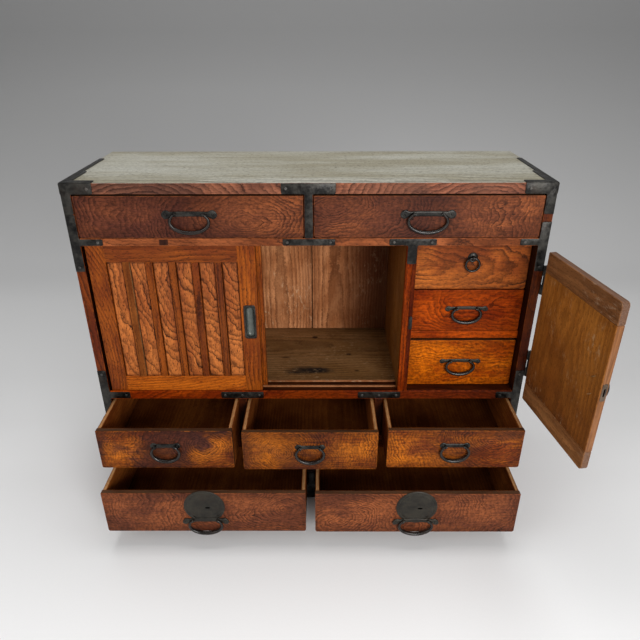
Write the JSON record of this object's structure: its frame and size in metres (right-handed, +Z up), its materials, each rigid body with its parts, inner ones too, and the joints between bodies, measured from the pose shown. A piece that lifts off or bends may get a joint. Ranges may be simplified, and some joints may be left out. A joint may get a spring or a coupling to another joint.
{
  "type": "tansu chest",
  "caption": "Low wooden tansu chest with iron fittings, drawers on bail handles, a bay closed by sliding doors and small drawers behind a hinged door.",
  "frame": {"origin": "on the floor, under the middle of the case", "axes": "+X to the right along the front, +Y from the front to the back, +Z up"},
  "size_m": [0.9548, 0.5569, 0.7585],
  "materials": {
    "case_wood": "lacquered elm, reddish brown",
    "top_wood": "faded lacquer, grey olive",
    "front_wood": "lacquered figured elm, red brown to orange",
    "box_wood": "old plain softwood, dark brown",
    "plank_wood": "bare softwood, tan",
    "sliding_door_wood": "lacquered elm, orange brown",
    "hinged_door_wood": "lacquered outside, worn brown inside",
    "iron": "black forged iron, satin",
    "bail_iron": "black forged iron, worn by hands",
    "nail_iron": "forged iron nail heads"
  },
  "bodies": {
    "case": {"top_panel": "top_wood", "left_side": "case_wood", "right_side": "case_wood", "base_frame": "case_wood", "back_planks": "plank_wood", "drawer_shelf": "case_wood", "uprights": "case_wood", "small_drawer_shelves": "case_wood", "lower_shelf": "case_wood", "upper_shelf": "case_wood", "case_irons": "iron", "case_nails": "nail_iron", "case_hinge_leaves": "iron"},
    "top_left_drawer": {"top_left_drawer_front": "front_wood", "top_left_drawer_box": "box_wood", "top_left_handle_plate": "iron"},
    "top_left_bail": {"top_left_bail": "bail_iron"},
    "top_right_drawer": {"top_right_drawer_front": "front_wood", "top_right_drawer_box": "box_wood", "top_right_handle_plate": "iron"},
    "top_right_bail": {"top_right_bail": "bail_iron"},
    "bottom_left_drawer": {"bottom_left_drawer_front": "front_wood", "bottom_left_drawer_box": "box_wood", "bottom_left_handle_plate": "iron"},
    "bottom_left_bail": {"bottom_left_bail": "bail_iron"},
    "bottom_right_drawer": {"bottom_right_drawer_front": "front_wood", "bottom_right_drawer_box": "box_wood", "bottom_right_handle_plate": "iron"},
    "bottom_right_bail": {"bottom_right_bail": "bail_iron"},
    "middle_left_drawer": {"middle_left_drawer_front": "front_wood", "middle_left_drawer_box": "box_wood", "middle_left_handle_plate": "iron"},
    "middle_left_bail": {"middle_left_bail": "bail_iron"},
    "middle_centre_drawer": {"middle_centre_drawer_front": "front_wood", "middle_centre_drawer_box": "box_wood", "middle_centre_handle_plate": "iron"},
    "middle_centre_bail": {"middle_centre_bail": "bail_iron"},
    "middle_right_drawer": {"middle_right_drawer_front": "front_wood", "middle_right_drawer_box": "box_wood", "middle_right_handle_plate": "iron"},
    "middle_right_bail": {"middle_right_bail": "bail_iron"},
    "small_lower_drawer": {"small_lower_drawer_front": "front_wood", "small_lower_drawer_box": "box_wood", "small_lower_handle_plate": "iron"},
    "small_lower_bail": {"small_lower_bail": "bail_iron"},
    "small_middle_drawer": {"small_middle_drawer_front": "front_wood", "small_middle_drawer_box": "box_wood", "small_middle_handle_plate": "iron"},
    "small_middle_bail": {"small_middle_bail": "bail_iron"},
    "small_upper_drawer": {"small_upper_drawer_front": "front_wood", "small_upper_drawer_box": "box_wood", "small_upper_handle_plate": "iron"},
    "small_upper_bail": {"small_upper_bail": "bail_iron"},
    "front_sliding_door": {"front_sliding_door": "sliding_door_wood", "front_door_pull": "iron"},
    "rear_sliding_door": {"rear_sliding_door": "sliding_door_wood", "rear_door_pull": "iron"},
    "hinged_door": {"hinged_door": "hinged_door_wood", "hinged_door_lock": "iron", "hinged_door_leaves": "iron"}
  },
  "joints": [
    {"name": "top_left_slide", "type": "slide", "parent": "case", "child": "top_left_drawer", "axis": [0, -1, 0], "range_m": [0, 0.22]},
    {"name": "top_left_bail_swing", "type": "hinge", "parent": "top_left_drawer", "child": "top_left_bail", "pos_m": [-0.22262, -0.1575, 0.7], "axis": [-1, 0, 0], "range_deg": [0, 100]},
    {"name": "top_right_slide", "type": "slide", "parent": "case", "child": "top_right_drawer", "axis": [0, -1, 0], "range_m": [0, 0.22]},
    {"name": "top_right_bail_swing", "type": "hinge", "parent": "top_right_drawer", "child": "top_right_bail", "pos_m": [0.22262, -0.1575, 0.7], "axis": [-1, 0, 0], "range_deg": [0, 100]},
    {"name": "bottom_left_slide", "type": "slide", "parent": "case", "child": "bottom_left_drawer", "axis": [0, -1, 0], "range_m": [-0.1437, 0.076]},
    {"name": "bottom_left_bail_swing", "type": "hinge", "parent": "bottom_left_drawer", "child": "bottom_left_bail", "pos_m": [-0.22262, -0.3015, 0.078], "axis": [-1, 0, 0], "range_deg": [0, 100]},
    {"name": "bottom_right_slide", "type": "slide", "parent": "case", "child": "bottom_right_drawer", "axis": [0, -1, 0], "range_m": [-0.1457, 0.074]},
    {"name": "bottom_right_bail_swing", "type": "hinge", "parent": "bottom_right_drawer", "child": "bottom_right_bail", "pos_m": [0.22262, -0.3035, 0.078], "axis": [-1, 0, 0], "range_deg": [0, 100]},
    {"name": "middle_left_slide", "type": "slide", "parent": "case", "child": "middle_left_drawer", "axis": [0, -1, 0], "range_m": [-0.109, 0.111]},
    {"name": "middle_left_bail_swing", "type": "hinge", "parent": "middle_left_drawer", "child": "middle_left_bail", "pos_m": [-0.29683, -0.2665, 0.245], "axis": [-1, 0, 0], "range_deg": [0, 100]},
    {"name": "middle_centre_slide", "type": "slide", "parent": "case", "child": "middle_centre_drawer", "axis": [0, -1, 0], "range_m": [-0.114, 0.106]},
    {"name": "middle_centre_bail_swing", "type": "hinge", "parent": "middle_centre_drawer", "child": "middle_centre_bail", "pos_m": [0, -0.2715, 0.245], "axis": [-1, 0, 0], "range_deg": [0, 100]},
    {"name": "middle_right_slide", "type": "slide", "parent": "case", "child": "middle_right_drawer", "axis": [0, -1, 0], "range_m": [-0.108, 0.112]},
    {"name": "middle_right_bail_swing", "type": "hinge", "parent": "middle_right_drawer", "child": "middle_right_bail", "pos_m": [0.29683, -0.2655, 0.245], "axis": [-1, 0, 0], "range_deg": [0, 100]},
    {"name": "small_lower_slide", "type": "slide", "parent": "case", "child": "small_lower_drawer", "axis": [0, -1, 0], "range_m": [0, 0.19]},
    {"name": "small_lower_bail_swing", "type": "hinge", "parent": "small_lower_drawer", "child": "small_lower_bail", "pos_m": [0.32225, -0.1325, 0.368], "axis": [-1, 0, 0], "range_deg": [0, 100]},
    {"name": "small_middle_slide", "type": "slide", "parent": "case", "child": "small_middle_drawer", "axis": [0, -1, 0], "range_m": [0, 0.19]},
    {"name": "small_middle_bail_swing", "type": "hinge", "parent": "small_middle_drawer", "child": "small_middle_bail", "pos_m": [0.32225, -0.1325, 0.4935], "axis": [-1, 0, 0], "range_deg": [0, 100]},
    {"name": "small_upper_slide", "type": "slide", "parent": "case", "child": "small_upper_drawer", "axis": [0, -1, 0], "range_m": [0, 0.19]},
    {"name": "small_upper_bail_swing", "type": "hinge", "parent": "small_upper_drawer", "child": "small_upper_bail", "pos_m": [0.32225, -0.1325, 0.604], "axis": [-1, 0, 0], "range_deg": [0, 100]},
    {"name": "front_door_slide", "type": "slide", "parent": "case", "child": "front_sliding_door", "axis": [1, 0, 0], "range_m": [-0.0042, 0.29245]},
    {"name": "rear_door_slide", "type": "slide", "parent": "case", "child": "rear_sliding_door", "axis": [1, 0, 0], "range_m": [-0.0132, 0.28345]},
    {"name": "hinged_door_swing", "type": "hinge", "parent": "case", "child": "hinged_door", "pos_m": [0.4603, -0.15415, 0.4715], "axis": [0, 0, 1], "range_deg": [-98.4, 163.6]}
  ]
}
